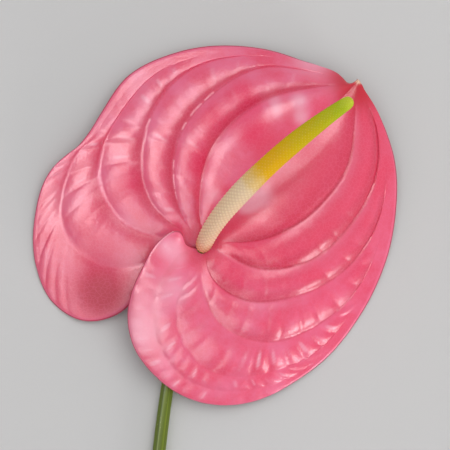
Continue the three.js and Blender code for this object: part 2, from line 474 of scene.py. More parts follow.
@dataclass(frozen=True)
class SpadixSkin:
    """The florets' colours, from the cream foot over gold to the green end, with painted shade
    between the florets and painted highlights on their tips.
    """

    stops: tuple[tuple[float, Colour], ...] = (
        (0.0, (226, 130, 96)),
        (0.03, (234, 168, 128)),
        (0.09, (238, 200, 164)),
        (0.42, (234, 205, 166)),
        (0.47, (231, 194, 124)),
        (0.53, (230, 176, 18)),
        (0.62, (224, 172, 6)),
        (0.70, (208, 176, 6)),
        (0.82, (192, 176, 10)),
        (0.94, (170, 184, 20)),
        (1.0, (196, 206, 60)),
    )
    # painted shade between the florets
    painted_gap_shade: Colour = (150, 92, 40)
    # painted highlight on the floret tips
    painted_bead_highlight: Colour = (248, 232, 196)

    def material(self) -> bpy.types.Material:
        """Builds the finish."""
        sheet = Shader("spadix_skin")
        skin = sheet.vector("skin")
        wander = sheet.noise(sheet.stretched(skin, (400, 400, 260)), 1, 3)
        shift = sheet.spread(wander, 0.3, 0.7, (-0.012, 0.012))
        along = sheet.maths("ADD", sheet.number("along"), shift)
        base = sheet.ramp(along, self.stops)
        floret = sheet.number("floret")
        plain = sheet.spread(sheet.number("along"), 0.38, 0.6, (1.0, 0.18))
        # painted shade in the hollows between the florets
        painted_gap_shade = sheet.maths("MULTIPLY", sheet.spread(floret, 0.0, 0.6, (0.17, 0.0)), plain)
        base = sheet.mix(painted_gap_shade, base, linear(*self.painted_gap_shade))
        # painted highlight on the top of each floret
        painted_bead_highlight = sheet.maths("MULTIPLY", sheet.spread(floret, 0.8, 1.15, (0.0, 0.55)), plain)
        base = sheet.mix(painted_bead_highlight, base, linear(*self.painted_bead_highlight))
        grain = sheet.noise(skin, 3000, 2)
        sheet.set(
            Base_Color=base,
            Roughness=0.6,
            Specular_IOR_Level=sheet.spread(sheet.number("along"), 0.4, 0.5, (0.3, 0.08)),
            Normal=sheet.bump(grain, 0.2, 0.00015),
            Subsurface_Weight=0.15,
            Subsurface_Radius=(1.0, 0.7, 0.3),
            Subsurface_Scale=0.0012,
        )
        return sheet.material


@dataclass(frozen=True)
class StemSkin:
    """Smooth green skin with lengthwise streaks and a few pale breathing pores."""

    green: Colour = (98, 114, 24)
    light: Colour = (124, 138, 42)
    dark: Colour = (80, 94, 20)
    pore: Colour = (172, 184, 112)

    def material(self) -> bpy.types.Material:
        """Builds the finish."""
        sheet = Shader("stem_skin")
        skin = sheet.vector("skin")
        streak = sheet.noise(sheet.stretched(skin, (1500, 1500, 22)), 1, 4)
        stops = ((0.3, self.dark), (0.5, self.green), (0.72, self.light))
        base = sheet.ramp(streak, stops)
        pores = sheet.cells(sheet.stretched(skin, (900, 900, 350)), 1)
        base = sheet.layered(base, (pores, 0.05, 0.16, (0.5, 0.0), self.pore))
        sheet.set(
            Base_Color=base,
            Roughness=0.42,
            Normal=sheet.bump(streak, 0.25, 0.0002),
            Subsurface_Weight=0.08,
            Subsurface_Radius=(0.6, 1.0, 0.3),
            Subsurface_Scale=0.001,
            Specular_IOR_Level=0.3,
        )
        return sheet.material


@dataclass(frozen=True)
class StemFlesh:
    """The cut face of the stem: pale wet pith with darker bundles of fibres."""

    pith: Colour = (190, 202, 140)
    fibre: Colour = (126, 142, 74)

    def material(self) -> bpy.types.Material:
        """Builds the finish."""
        sheet = Shader("stem_flesh")
        bundles = sheet.cells(sheet.place(), 1500)
        base = sheet.layered(linear(*self.pith), (bundles, 0.1, 0.35, (0.8, 0.0), self.fibre))
        sheet.set(Base_Color=base, Roughness=0.35, Normal=sheet.bump(bundles, 0.3, 0.0002))
        return sheet.material


@dataclass(frozen=True)
class TableFinish:
    """A plain pale table top."""

    shade: Colour = (212, 211, 209)
    speck: Colour = (200, 199, 198)

    def material(self) -> bpy.types.Material:
        """Builds the finish."""
        sheet = Shader("table")
        grain = sheet.noise(sheet.place(), 900, 3)
        base = sheet.layered(linear(*self.shade), (grain, 0.3, 0.7, (0, 0.05), self.speck))
        sheet.set(Base_Color=base, Roughness=0.9, Specular_IOR_Level=0.0)
        return sheet.material


# ---------------------------------------------------------------- the spathe


@dataclass
class BladeLaw:
    """The shape of the spathe: its outline, its heights and the run of its side veins.

    Each margin is a run of (degrees round the collar from the midrib, distance from the collar,
    height above the table). Each vein is a row of reaches and a row of its turns there, in
    degrees. Veins keep least_gap of the margin's turn between them and merge softly. The inner
    blade follows a margin smoothed over calm_reach, and goes over to the true one between
    true_shares of the way out.
    """

    collar: tuple[float, float] = field(default_factory=collar_place)
    midrib_length: float = 92.3
    midrib_azimuth: float = 46.8
    collar_radius: float = 1.6
    pit_height: float = 9.6
    crown: float = 3.2
    channel: float = 0.25
    channel_share: float = 0.16
    drop_power: float = 2.3
    least_gap: float = 0.018
    merge: float = 0.03
    calm_reach: float = 0.38
    true_shares: tuple[float, float] = (0.55, 1.0)
    sinus: dict[Half, float] = per_half(150, -206)
    point: tuple[float, float, float] = (0.25, 91.2, 9.2)
    midrib_heights: Stops = ((10, 12.2), (24, 15.4), (45, 16.6), (66, 14.6), (80, 11.8))
    left_margin: Sequence[tuple[float, float, float]] = (
        (149.2, 9, 10.2), (160.2, 17.1, 9.6), (167.2, 26.6, 8.6), (172.2, 39.1, 6.2),
        (171.2, 46.7, 4.6), (165.2, 57, 2.8), (153.2, 65.3, 1.3), (139.2, 68.1, 1.2),
        (123.2, 68.9, 2.6), (107.2, 68.4, 5.6), (94.2, 64.1, 8.6), (81.2, 67.2, 8),
        (66.2, 75.1, 5.6), (50.2, 78.9, 4.2), (33.2, 82, 3.8), (15.9, 84.7, 5), (11, 86.2, 5.8),
        (5.7, 87.9, 6.8), (3.4, 87.7, 7.4), (1.5, 87.5, 8), (0.7, 88.8, 8.6),
    )
    right_margin: Sequence[tuple[float, float, float]] = (
        (-232.8, 6.2, 14.6), (-255.8, 8.8, 18.4), (-256.8, 11.8, 20.4), (-233.8, 17.4, 20.8),
        (-209.8, 24.5, 19.4), (-194.8, 33.4, 17.4), (-183.8, 41.3, 15), (-170.8, 49.3, 12.4),
        (-156.8, 55.9, 9.8), (-140.8, 62.2, 7), (-122.8, 65.8, 4.4), (-103.8, 66.2, 2.4),
        (-86.8, 67.6, 1.2), (-69.8, 69.6, 1.1), (-52.8, 73.8, 1.6), (-35.8, 79.4, 3.2),
        (-19.8, 85.6, 5.2), (-12.2, 87.9, 6.3), (-8.4, 89, 6.9), (-3.4, 90.2, 8),
        (-1.6, 90.7, 8.6),
    )
    left_veins: Sequence[tuple[Row, Row]] = (
        ((-3.2, -2.2, -1.4, -0.6, 0.0, 0.7, 1.6, 3), (40, 54, 58, 60, 58, 53, 42, 24)),
        ((-3.2, -2.2, -1.4, -0.6, 0.0, 0.7, 1.6, 3), (66, 86, 86, 85, 81, 78, 64, 44)),
        ((-3.2, -2.2, -1.4, -0.6, 0.0, 0.7, 1.6, 3), (84, 100, 109, 103, 98, 87, 74, 50)),
        ((-3.2, -2.2, -1.4, -0.9, -0.4, 0.0, 1.6, 3), (104, 124, 132, 128, 113, 105, 80, 54)),
        ((-3.2, -2.2, -1.4, -0.9, -0.6, -0.3, 1.6, 3), (124, 146, 157, 148, 127, 114, 84, 58)),
    )
    right_veins: Sequence[tuple[Row, Row]] = (
        ((-3.2, -2.2, -1.4, -0.6, 0.0, 0.7, 1.6, 3), (20, 40, 50, 53, 53, 52, 40, 24)),
        ((-3.2, -2.2, -1.4, -0.6, 0.0, 0.7, 1.6, 3), (54, 70, 82, 82, 78, 77, 72, 46)),
        ((-3.2, -2.2, -1.4, -0.8, -0.2, 0.4, 1.6, 3), (126, 128, 116, 102, 94, 88, 79, 52)),
        ((-3.2, -2.2, -1.4, -0.9, -0.5, 0.0, 1.6, 3), (142, 142, 139, 127, 112, 100, 82, 56)),
        ((-3.2, -2.2, -1.5, -1.0, -0.7, 0.0, 1.6, 3), (158, 163, 165, 151, 131, 103, 85, 59)),
        ((-3.2, -2.6, -2.0, -1.5, -1.0, -0.6, 1.6, 3), (178, 208, 194, 181, 160, 131, 87, 61)),
    )

    def __post_init__(self) -> None:
        """Works out the curves that the methods read."""
        self.margins = {half: self._margin(half) for half in Half}
        self.first = float(self.pole(0, self.collar_radius)[0])
        self.last = float(self.pole(self.point[0], self.point[1])[0])
        self.midrib = smooth_curve(
            [(self.progress(self.first), self.pit_height)]
            + [(d / self.midrib_length, h) for d, h in self.midrib_heights]
            + [(self.progress(self.last), self.point[2])]
        )
        self.calm = {half: self._calm(half) for half in Half}
        self.veins = {
            Half.LEFT: [smooth_curve(list(zip(*vein))) for vein in self.left_veins],
            Half.RIGHT: [smooth_curve(list(zip(*vein))) for vein in self.right_veins],
        }

    @staticmethod
    def progress(reach: Array) -> Array:
        """Share of the midrib passed at a reach."""
        return 1 / (1 + np.exp(-np.asarray(reach, float)))

    def pole(self, degrees: Array, distance: Array) -> tuple[Array, Array]:
        """Reach and turn (radians) of a place given round and from the collar."""
        angle = np.radians(degrees)
        along = distance * np.cos(angle) / self.midrib_length
        across = distance * np.sin(angle) / self.midrib_length
        reach = np.log(np.hypot(along, across) / np.hypot(1 - along, across))
        return reach, angle + np.arctan2(across, 1 - along)

    def plan(self, reach: Array, turn: Array) -> Array:
        """Places on the table plan, about the collar, for a reach and a turn in radians."""
        pull = np.exp(reach + 1j * np.asarray(turn))
        along = np.exp(1j * np.radians(self.midrib_azimuth))
        place = self.midrib_length * pull / (1 + pull) * along
        return np.stack([place.real, place.imag], axis=-1)

    def _margin(self, half: Half) -> tuple[Callable[[Array], Array], Callable[[Array], Array]]:
        """Turn over reach and height over progress, along one margin."""
        rows = self.left_margin if half is Half.LEFT else self.right_margin
        sign = -half.value
        full = np.array(
            [(self.sinus[half], self.collar_radius, self.pit_height), *rows,
             (sign * self.point[0], self.point[1], self.point[2])]
        )
        reach, turn = self.pole(full[:, 0], full[:, 1])
        turns = smooth_curve(list(zip(reach, np.abs(turn))))
        return turns, smooth_curve(list(zip(self.progress(reach), full[:, 2])))

    def _calm(self, half: Half) -> tuple[Callable[[Array], Array], Callable[[Array], Array]]:
        """One margin's turn and height over reach, smoothed so that the inner blade is calm."""
        reach = np.linspace(self.first, self.last, 500)
        turn, height = self.margins[half]
        both = np.stack([turn(reach), height(self.progress(reach))], axis=1)
        even = blurred(both, self.calm_reach / (reach[1] - reach[0]))
        return lambda q: np.interp(q, reach, even[:, 0]), lambda q: np.interp(q, reach, even[:, 1])

    def lines(self, half: Half, reach: Array) -> Array:
        """Turns, in radians and growing outwards, of the midrib, each vein and the margin.

        Args:
            half: which side of the midrib.
            reach: one reach for each row.

        Returns:
            An array with one row for each reach and one column for each line.
        """
        margin = self.margins[half][0](reach)
        veins = [np.radians(vein(reach)) for vein in self.veins[half]]
        outer = margin
        kept = [margin]
        for vein in reversed(veins):
            outer = soft_min(vein, outer - self.least_gap * margin, self.merge)
            kept.append(outer)
        kept.append(np.zeros_like(margin))
        return np.stack(kept[::-1], axis=-1)

    def height(self, half: Half, reach: Array, turn: Array) -> Array:
        """Height of the smooth blade at a turn, following the true margin only close to it."""
        margin_turn, margin_height = self.margins[half]
        calm_turn, calm_height = self.calm[half]
        share = np.clip(turn / margin_turn(reach), 0, 1)
        outer = self._section(reach, share, margin_height(self.progress(reach)))
        inner = self._section(reach, np.clip(turn / calm_turn(reach), 0, 1), calm_height(reach))
        return inner + (outer - inner) * smooth_step(*self.true_shares, share)

    def _section(self, reach: Array, share: Array, edge: Array) -> Array:
        """Height at a share of the way from the midrib out to a margin of a height."""
        progress = self.progress(reach)
        middle = self.midrib(progress)
        drop = (edge - middle) * share**self.drop_power
        fade = 4 * progress * (1 - progress)
        arch = self.crown * np.sin(np.pi * share) * fade
        channel = self.channel * np.exp(-((share / self.channel_share) ** 2)) * fade
        return middle + drop + arch - channel


@dataclass
class Relief:
    """How the blade puffs up between its veins, in bands counted out from the midrib.

    A pillow rises by swell of its width, at most by most, and fades where its band is narrower
    than narrow. Each band is crossed by shallow creases about cell_lengths apart, with a painted
    highlight, a pale glint, beside each. level is the part of a pillow's profile that lies flush
    with the blade.
    wakes says, for the bands past quiet_bands, between which reaches the creases come up, and the
    least and added strength of creases and of painted glints.
    """

    swell: float = 0.125
    most: float = 2.3
    level: float = 0.6
    narrow: tuple[float, float] = (2.5, 8.0)
    sharpness: float = 2.6
    lean: float = 1.25
    depths: dict[Half, Row] = per_half(
        (0.15, 1.0, 1.0, 0.9, 0.65, 0.4), (0.15, 0.85, 0.95, 0.9, 0.6, 0.3, 0.22)
    )
    # strength of the painted highlights beside the cross creases, band by band
    painted_glints: dict[Half, Row] = per_half(
        (0.0, 0.5, 0.7, 0.8, 0.7, 0.8), (0.0, 0.1, 0.1, 0.25, 1.0, 0.9, 0.9)
    )
    cell_lengths: Row = (14.0, 9.0, 9.5, 7.5, 7.0, 6.5, 6.0)
    cell_swells: dict[Half, Row] = per_half(
        (0.12, 0.35, 0.4, 0.42, 0.45, 0.45), (0.12, 0.3, 0.3, 0.45, 0.85, 0.55, 0.45)
    )
    slants: dict[Half, Row] = per_half(
        (0.5, 0.5, 0.5, 0.5, 0.5, 0.5), (0.5, 0.5, 0.5, 0.9, 1.5, 1.5, 1.5)
    )
    unevenness: tuple[float, float] = (0.7, 1.35)
    strengths: tuple[float, float] = (0.45, 1.15)
    painted_glint_place: float = 0.3
    painted_glint_width: float = 0.13
    quiet_bands: int = 2
    wakes: dict[Half, Row] = per_half(
        (-1.2, -0.5, 0.2, 0.9, 0.3, 0.7), (-2.7, -1.7, 0.0, 1.0, 0.0, 1.0)
    )
    waver: float = 0.45
    waver_length: float = 17.0
    seed: int = 11

    def pillow(self, across: Array) -> Array:
        """A pillow's profile: 0 in the creases at 0 and 1, 1 on its crest."""
        return 1 - np.abs(2 * across - 1) ** self.sharpness

    def cells(
        self, half: Half, band: int, run: Array, across: Array, dice: random.Random
    ) -> tuple[Array, Array]:
        """The rise and fall of one band's cross creases, and the pale flecks beside them.

        Args:
            half: which side of the midrib.
            band: which band, counted out from the midrib.
            run: distance along the band, in millimetres, of each vertex.
            across: share of the way across the band of each vertex.
            dice: the source of the cells' uneven lengths.

        Returns:
            Heights in millimetres, and the painted highlights' strength from 0 to 1.
        """
        length, swell = self.cell_lengths[band], self.cell_swells[half][band]
        before, after = 20.0, 40.0
        edges, strengths = [-before], []
        while edges[-1] < run.max() + after:
            edges.append(edges[-1] + length * dice.uniform(*self.unevenness))
            strengths.append(dice.uniform(*self.strengths))
        slanted = run - (across - 0.5) * length * self.slants[half][band]
        edge = np.array(edges)
        cell = np.clip(np.searchsorted(edge, slanted) - 1, 0, len(strengths) - 1)
        inside = (slanted - edge[cell]) / (edge[cell + 1] - edge[cell])
        window = smooth_step(0.0, 0.5, across) * (1 - 0.6 * smooth_step(0.8, 1.0, across))
        strength = np.array(strengths)[cell]
        # painted highlight: a pale glint a little past each cross crease
        beside = (inside - self.painted_glint_place) / self.painted_glint_width
        painted_glint = np.exp(-(beside**2)) * smooth_step(0.5, 1.1, strength)
        painted_glint = painted_glint * smooth_step(0.08, 0.4, across) * (1 - smooth_step(0.6, 0.92, across))
        return swell * strength * (self.pillow(inside) - self.level) * window, painted_glint


@dataclass
class Spathe:
    """The coloured blade: one closed skin, thin at its rim, pillowed between its veins.

    The tone patches are soft patches of (x, y, radius, amount), in millimetres about the collar;
    they are paler than the flesh where the amount is above 0 and deeper where it is below: partly
    the blade's own uneven tone, partly painted highlight where paler and painted shade where
    deeper.
    """

    law: BladeLaw = field(default_factory=BladeLaw)
    relief: Relief = field(default_factory=Relief)
    rows: int = 286
    columns_per_band: tuple[int, ...] = (13, 12, 11, 11, 11, 11, 10)
    thickness: float = 0.9
    rim_thickness: float = 0.55
    stored: tuple[str, ...] = (
        "crown", "painted_flank_highlight", "shade", "painted_side_shade", "light", "deep_tone_and_shade", "painted_lobe_shadow", "painted_glint", "point", "dry",
        "pit", "rim", "thick",
    )
    no_edge: float = 99.0
    collar_fade: tuple[float, float] = (3.0, 14.0)
    curl: float = 0.5
    curl_width: float = 1.6
    # painted shadow under the lower lobe's edge: x, y and radius in millimetres
    painted_lobe_shadow_patch: tuple[float, float, float] = (-41.0, -20.0, 8.5)
    tones_and_painted_light: Sequence[tuple[float, float, float, float]] = (
        (-24, -34, 8, 0.7), (-17, -16, 6, 0.5), (-10, -3, 4, 0.7), (-15, 0, 3, 0.6),
        (-9, -18, 4, 0.4), (5, 20, 3, 0.5), (17, 16, 3.2, 1.0), (23, 19, 4.5, 1.0),
        (43, 38, 7, -0.5), (28, 58, 2.5, 0.9), (29, 53, 2.5, 0.7), (38, 58, 2.4, 0.9),
        (39, 51, 2.6, 0.9), (46, 78, 8, 1.0), (-26, 66, 9, 0.3), (-44, 50, 6, 0.3),
        (-57, 18, 5, 0.5), (-60, 2, 5, -0.3), (-42, -9, 8, -0.4), (-42, 12, 10, -0.4),
        (1, 33, 4, -0.6), (19, 45, 5, -0.8), (20, 55, 5, -0.8), (5, 50, 5, -0.7),
        (14, 62, 5, -0.4), (19, 4, 7, -0.6), (32, 8, 8, -0.3), (12, -12, 7, -0.9),
        (30, -8, 9, -0.3), (-28, 26, 6, -0.7), (-8, 34, 7, -0.5), (56, -20, 12, -0.3),
    )

    def row_reaches(self) -> Array:
        """Reaches of the mesh rows, evenly spaced along the faster margin."""
        reach = np.linspace(self.law.first, self.law.last, 4000)
        steps = []
        for half in Half:
            margin = self.law.plan(reach, -half.value * self.law.margins[half][0](reach))
            steps.append(np.linalg.norm(np.diff(margin, axis=0), axis=1))
        run = np.concatenate([[0], np.cumsum(np.maximum(*steps))])
        return np.interp(np.linspace(0, run[-1], self.rows + 1), run, reach)

    def half_grid(self, half: Half, reach: Array) -> dict[str, Array]:
        """Places and stored numbers of one half, as arrays of rows by columns from the midrib.

        Args:
            half: which side of the midrib.
            reach: the reach of each row.

        Returns:
            A dictionary of arrays, "place" in millimetres about the collar among them.
        """
        law, relief = self.law, self.relief
        dice = random.Random(relief.seed + half.value)
        lines = law.lines(half, reach)
        bands = lines.shape[1] - 1
        sign = -half.value
        rail = [law.plan(reach, sign * lines[:, k]) for k in range(bands + 1)]
        pieces = []
        for k in range(bands):
            count = self.columns_per_band[k]
            even = np.arange(0 if k == 0 else 1, count + 1) / count
            across = (0.65 * even + 0.35 * (1 - np.cos(np.pi * even)) / 2)[None, :]
            inner, outer = lines[:, k : k + 1], lines[:, k + 1 : k + 2]
            width = np.linalg.norm(rail[k + 1] - rail[k], axis=1)[:, None]
            middle = (rail[k] + rail[k + 1]) / 2
            run = run_along(middle)[:, None]
            puff = np.minimum(relief.swell * width, relief.most)
            narrow = smooth_step(*relief.narrow, width)
            near, far = relief.depths[half][k], relief.depths[half][min(k + 1, bands - 1)]
            depth = near + (far - near) * across
            lean = across**relief.lean if half is Half.RIGHT else across
            profile = relief.level + (relief.pillow(lean) - relief.level) * narrow * depth
            from_edge = np.full(profile.shape, self.no_edge)
            if k == bands - 1:
                profile = np.where(across > 0.5, np.maximum(profile, relief.level), profile)
                from_edge = (1 - across) * width
            cross, painted_glint = relief.cells(half, k, run + 0 * across, across + 0 * run, dice)
            cross, painted_glint = cross * narrow, painted_glint * narrow * relief.painted_glints[half][k]
            if k > relief.quiet_bands:
                low, high, *shares = relief.wakes[half]
                wake = smooth_step(low, high, reach)[:, None]
                cross = cross * (shares[0] + shares[1] * wake)
                painted_glint = painted_glint * (shares[2] + shares[3] * wake)
            # lit is +1 on the side of each pillow turned to the light and -1 on the side turned
            # from it; it drives the painted highlight and the painted shade below
            lit = 1 - 2 * across if half is Half.RIGHT else 2 * across - 1
            pieces.append({
                "turn": inner + (outer - inner) * across,
                "crown": profile,
                "rise": puff * (profile - relief.level) + cross,
                "edge": from_edge,
                "painted_glint": painted_glint,
                # painted highlight on the flank turned to the light, painted shade on the flank
                # turned from it
                "painted_flank_highlight": smooth_step(0.1, 0.95, lit) * (narrow * depth),
                "shade": smooth_step(0.0, 0.9, -lit) * (narrow * depth),
            })
        grid = {
            name: np.concatenate([piece[name] for piece in pieces], axis=1) for name in pieces[0]
        }
        turn = grid["turn"]
        spread = reach[:, None] + 0 * turn
        plan = law.plan(spread, sign * turn)
        grid["place"] = np.concatenate([plan, law.height(half, spread, turn)[..., None]], axis=-1)
        aside = np.degrees(-sign * turn)
        # painted shade on the right side of the blade and on the left lobe, which get less light
        right_side = smooth_step(-25, 20, aside) * (1 - smooth_step(66, 118, aside))
        left_lobe = 0.55 * (1 - smooth_step(-160, -112, aside))
        grid["painted_side_shade"] = right_side * smooth_step(-2.4, -0.6, spread) + left_lobe
        return grid

    def full_grid(self) -> dict[str, Array]:
        """Both halves side by side, left margin first, with the relief raised along the normals."""
        reach = self.row_reaches()
        halves = {half: self.half_grid(half, reach) for half in Half}
        left, right = halves[Half.LEFT], halves[Half.RIGHT]
        grid = {
            name: np.concatenate([left[name][:, ::-1], right[name][:, 1:]], axis=1) for name in left
        }
        place = grid["place"]
        across = np.gradient(place, axis=1)
        along = np.gradient(place, axis=0)
        normal = np.cross(across, along)
        normal /= np.linalg.norm(normal, axis=-1, keepdims=True) + 1e-12
        curl = self.curl * np.clip(1 - grid["edge"] / self.curl_width, 0, 1) ** 2
        from_collar = np.linalg.norm(place[..., :2], axis=-1)
        tip = place[..., :2] - self.law.plan(np.array(self.law.last), np.array(0.0))
        from_tip = np.linalg.norm(tip, axis=-1)
        clear = smooth_step(*self.collar_fade, from_collar)
        fade = clear * smooth_step(2.0, 22.0, from_tip)
        far = self.relief.waver_length
        sway = np.array(
            [[noise.noise(Vector((p[0] / far, p[1] / far, 0.7))) for p in row] for row in place]
        )
        rise = fade * (grid["rise"] + self.relief.waver * sway) - curl
        grid["place"] = place + normal * rise[..., None]
        grid["point"] = 1 - smooth_step(2.0, 21.0, from_tip)
        grid["dry"] = 1 - smooth_step(0.9, 2.4, from_tip)
        grid["pit"] = 1 - clear
        grid["rim"] = np.clip(1 - grid["edge"] / 2.2, 0, 1)
        grid["thick"] = smooth_step(0.0, 7.0, grid["edge"])
        # soft patches, partly the blade's own tone, partly painted highlight above 0 and painted
        # shade below 0
        tone_and_painted_light = np.zeros_like(from_collar)
        for x, y, radius, amount in self.tones_and_painted_light:
            tone_and_painted_light += amount * bell(place, x, y, radius)
        # painted shadow of the lower lobe on the left lobe
        grid["painted_lobe_shadow"] = bell(place, *self.painted_lobe_shadow_patch)
        grid["light"] = np.clip(tone_and_painted_light, 0, 1)
        grid["deep_tone_and_shade"] = np.clip(-tone_and_painted_light, 0, 1)
        return grid

    def build(self) -> bpy.types.Object:
        """Makes the blade.

        Returns:
            The finished object, riding on the root body.
        """
        grid = self.full_grid()
        sheet = woven(grid["place"] + (*self.law.collar, 0), {k: grid[k] for k in self.stored})
        finishes = SpatheFace().material(), SpatheBack().material()
        mesh = settled(sheet, "spathe_blade", *finishes)
        blade = link("spathe_blade", mesh)
        body = blade.vertex_groups.new(name="body")
        for index, weight in enumerate(mesh.attributes["thick"].data):
            body.add([index], weight.value, "REPLACE")
        wall = blade.modifiers.new("wall", "SOLIDIFY")
        wall.thickness = self.thickness * MM
        wall.offset = -1
        wall.vertex_group = "body"
        wall.thickness_vertex_group = self.rim_thickness / self.thickness
        wall.material_offset = 1
        wall.material_offset_rim = 0
        round_edges(blade, "soft_edge", 0.16)
        return declare(blade, Slot.SPATHE, "spathe")


# ---------------------------------------------------------------- rods: the spadix and the stem


@dataclass
class Rod:
    """A closed round rod along a centreline, laid out as a grid of rings.

    line holds the ring centres and radius each ring's radius, both in millimetres.
    """

    line: Array
    radius: Array
    sides: int

    @property
    def angle(self) -> Array:
        """Angles in radians round a ring, the first one again at the end."""
        return 2 * np.pi * np.arange(self.sides + 1) / self.sides

    def unrolled(self, radius: Array, run: Array) -> Array:
        """Places on the straightened rod, in metres, which its streaks and grain follow."""
        return np.stack(
            [
                radius[:, None] * np.cos(self.angle)[None, :],
                radius[:, None] * np.sin(self.angle)[None, :],
                run[:, None] + 0 * self.angle[None, :],
            ],
            axis=-1,
        ) * MM

    def rings(self, extra: Array) -> Array:
        """Places of every ring's vertices, as rings by sides + 1 by 3.

        Args:
            extra: a further radius for each ring and side, in millimetres.

        Returns:
            The places in millimetres.
        """
        tangent = np.gradient(self.line, axis=0)
        tangent /= np.linalg.norm(tangent, axis=1, keepdims=True)
        sideways = np.cross([0, 0, 1.0], tangent)
        sideways /= np.linalg.norm(sideways, axis=1, keepdims=True)
        upwards = np.cross(tangent, sideways)
        outward = (
            sideways[:, None, :] * np.cos(self.angle)[None, :, None]
            + upwards[:, None, :] * np.sin(self.angle)[None, :, None]
        )
        reach = self.radius[:, None] + extra
        return self.line[:, None, :] + outward * reach[..., None]

    def closed(self, place: Array, stored: dict[str, Array]) -> bmesh.types.BMesh:
        """Wraps a grid into the rod and closes its seam and both ends.

        Args:
            place: vertex places, rings by sides + 1 by 3, in millimetres.
            stored: arrays of the same rings by sides + 1 to keep on the vertices.

        Returns:
            The closed shape.
        """
        skin = woven(place, stored)
        bmesh.ops.remove_doubles(skin, verts=skin.verts, dist=2e-6)
        ends = [edge for edge in skin.edges if edge.is_boundary]
        bmesh.ops.holes_fill(skin, edges=ends, sides=0)
        bmesh.ops.recalc_face_normals(skin, faces=skin.faces)
        return skin


@dataclass
class Spadix:
    """The flower spike: a bent tapered rod whose skin is packed with spiral rows of florets."""

    collar: tuple[float, float] = field(default_factory=collar_place)
    end_rise: float = 15.0
    rise_power: float = 2.4
    stub: float = 3.7
    foot: float = 5.4
    foot_round: float = 1.6
    cap_rings: int = 24
    length: float = 91.0
    headings: Stops = ((0, 66), (0.1, 58), (0.25, 49.3), (0.6, 41.3), (1, 33.2))
    widths: Stops = (
        (0, 5.4), (0.04, 6.5), (0.1, 6.9), (0.22, 7.5), (0.4, 8.3), (0.55, 7.9), (0.72, 7.5),
        (0.88, 6.1), (1, 4.8),
    )
    spirals: tuple[int, int] = (12, 13)
    floret_length: tuple[float, float] = (1.95, 1.45)
    floret_height: Stops = ((0, 0.1), (0.06, 0.17), (0.34, 0.16), (0.44, 0.09), (1, 0.06))
    rings: int = 420
    sides: int = 144

    def centreline(self) -> tuple[Array, Array]:
        """Ring centres and each ring's share of the length, foot first."""
        steps = 600
        share = (np.arange(steps) + 0.5) / steps
        heading = smooth_curve(self.headings)(share)
        rise = self.end_rise + (NECK_RISE - self.end_rise) * (1 - share) ** self.rise_power
        step = direction(heading, rise) * self.length / steps
        ahead = direction(NECK_AZIMUTH, NECK_RISE)
        start = np.array([*self.collar, NECK_HEIGHT]) + ahead * self.stub
        body = start + np.concatenate([[np.zeros(3)], np.cumsum(step, axis=0)])
        foot = start - ahead * self.foot
        line = np.concatenate([[foot], body])
        run = run_along(line)
        end = self.widths[-1][1] / 2
        even = np.linspace(0, run[-1] - end, self.rings - self.cap_rings)
        cap = run[-1] - end + end * np.sin(np.linspace(0, np.pi / 2, self.cap_rings + 1))[1:]
        wanted = np.concatenate([even, cap])
        return resampled(line, run, wanted), wanted / run[-1]

    def florets(self, share: Array, run: Array) -> tuple[Array, Array]:
        """Height, in millimetres, and 0 to 1 pattern of the florets over the rings and sides."""
        angle = np.arange(self.sides + 1) / self.sides
        low, high = self.floret_length
        pitch = low + (high - low) * share
        count = np.concatenate([[0], np.cumsum(np.diff(run) / pitch[1:])])[:, None]
        one = (self.spirals[0] * angle[None, :] + count) % 1 - 0.5
        other = (self.spirals[1] * angle[None, :] - count) % 1 - 0.5
        dome = np.clip(np.cos(np.pi * one) * np.cos(np.pi * other), 0, 1)
        dot = np.exp(-(one**2 + other**2) / 0.035)
        height = smooth_curve(self.floret_height)(share)[:, None]
        return height * (dome - 0.5 + 0.5 * dot), dome + 0.25 * dot

    def build(self) -> bpy.types.Object:
        """Makes the spike.

        Returns:
            The finished object, riding on the root body.
        """
        centres, share = self.centreline()
        run = run_along(centres)
        radius = smooth_curve(self.widths)(share) / 2
        end = self.widths[-1][1] / 2
        left = (1 - share) * run[-1] / share[-1]
        cap = end * np.sqrt(np.clip(1 - (1 - left / end) ** 2, 0, 1))
        rounded = np.where(left < end, cap, radius)
        in_foot = np.clip(run / self.foot_round, 0, 1)
        foot = np.sqrt(in_foot * (2 - in_foot))
        height, pattern = self.florets(share, run)
        fade = (foot * smooth_step(0, 0.6, rounded / end))[:, None]
        rod = Rod(centres, rounded * foot, self.sides)
        place = rod.rings(height * fade)
        place[0] = centres[0]
        place[-1] = centres[-1]
        stored = {
            "along": share[:, None] + 0 * rod.angle[None, :],
            "floret": pattern,
            "skin": rod.unrolled(radius, run),
        }
        mesh = settled(rod.closed(place, stored), "spadix_spike", SpadixSkin().material())
        spike = link("spadix_spike", mesh)
        return declare(spike, Slot.SPADIX, "spadix")


